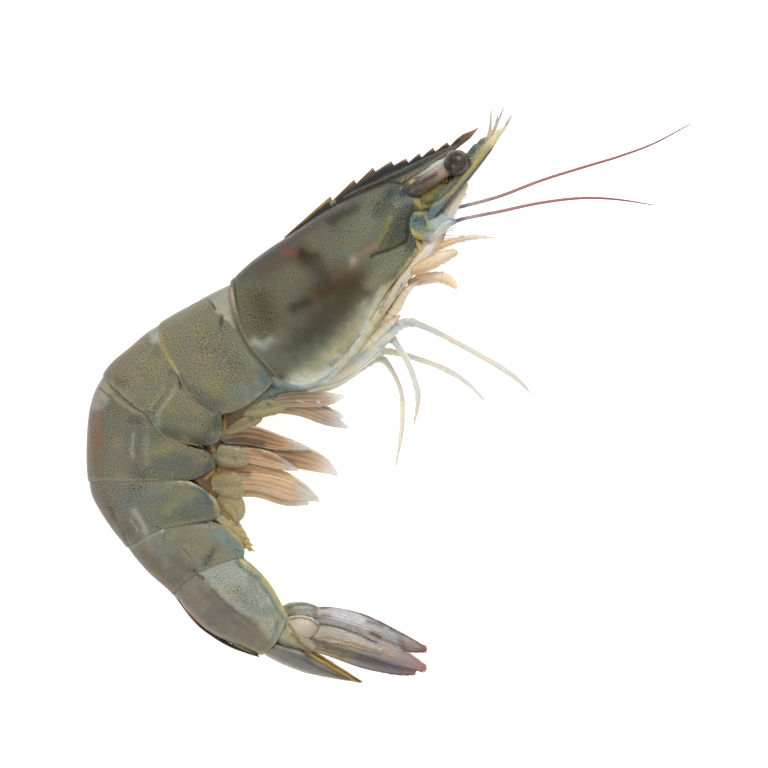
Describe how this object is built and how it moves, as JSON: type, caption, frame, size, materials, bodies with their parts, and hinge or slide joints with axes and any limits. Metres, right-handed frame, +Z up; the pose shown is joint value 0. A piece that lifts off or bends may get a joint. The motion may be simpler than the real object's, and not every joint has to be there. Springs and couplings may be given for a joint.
{
  "type": "raw whiteleg shrimp",
  "caption": "Whole raw shrimp with head and shell on, lying on its left side with its tail curled under, a toothed rostrum, stalked eyes, thin legs and a tail fan.",
  "frame": {"origin": "on the table under the middle of the animal's bounding box", "axes": "+Z up through the animal's right side, which faces up; the head points to +X +Y, and the tail curls round towards +X at -Y"},
  "size_m": [0.1148, 0.1096, 0.016],
  "materials": {
    "shell": "wet shell, finely stippled",
    "fan": "wet translucent shell, ribbed lengthwise",
    "flesh": "soft, wet and translucent",
    "leg": "wet, pale and translucent",
    "eye": "glossy and dark",
    "whip": "thin and smooth"
  },
  "bodies": {
    "root": {"abdomen_segment_1": "shell", "abdomen_segment_2": "shell", "abdomen_segment_3": "shell", "abdomen_segment_4": "shell", "abdomen_segment_5": "shell", "abdomen_segment_6": "shell", "antenna_left": "whip", "antenna_right": "whip", "antenna_root_left": "shell", "antenna_root_right": "shell", "antenna_scale_left": "shell", "antenna_scale_right": "shell", "antenna_stalk_left": "leg", "antenna_stalk_right": "leg", "antennule_left": "shell", "antennule_right": "shell", "carapace": "shell", "eye_left": "eye", "eye_right": "eye", "eye_stalk_left": "flesh", "eye_stalk_right": "flesh", "leg_1_left": "leg", "leg_1_right": "leg", "leg_2_left": "leg", "leg_2_right": "leg", "leg_3_left": "leg", "leg_3_right": "leg", "leg_4_left": "leg", "leg_4_right": "leg", "leg_5_left": "leg", "leg_5_right": "leg", "mouth_leg_left": "leg", "mouth_leg_right": "leg", "palp_broad_left": "flesh", "palp_broad_right": "flesh", "palp_hooked_left": "flesh", "palp_hooked_right": "flesh", "palp_long_left": "flesh", "palp_long_right": "flesh", "swimmer_1_left": "flesh", "swimmer_1_right": "flesh", "swimmer_2_left": "flesh", "swimmer_2_right": "flesh", "swimmer_3_left": "flesh", "swimmer_3_right": "flesh", "swimmer_4_left": "flesh", "swimmer_4_right": "flesh", "swimmer_5_left": "flesh", "swimmer_5_right": "flesh", "telson": "fan", "uropod_endopod_left": "fan", "uropod_endopod_right": "fan", "uropod_exopod_left": "fan", "uropod_exopod_right": "fan", "uropod_stalk_left": "flesh", "uropod_stalk_right": "flesh"}
  },
  "joints": []
}
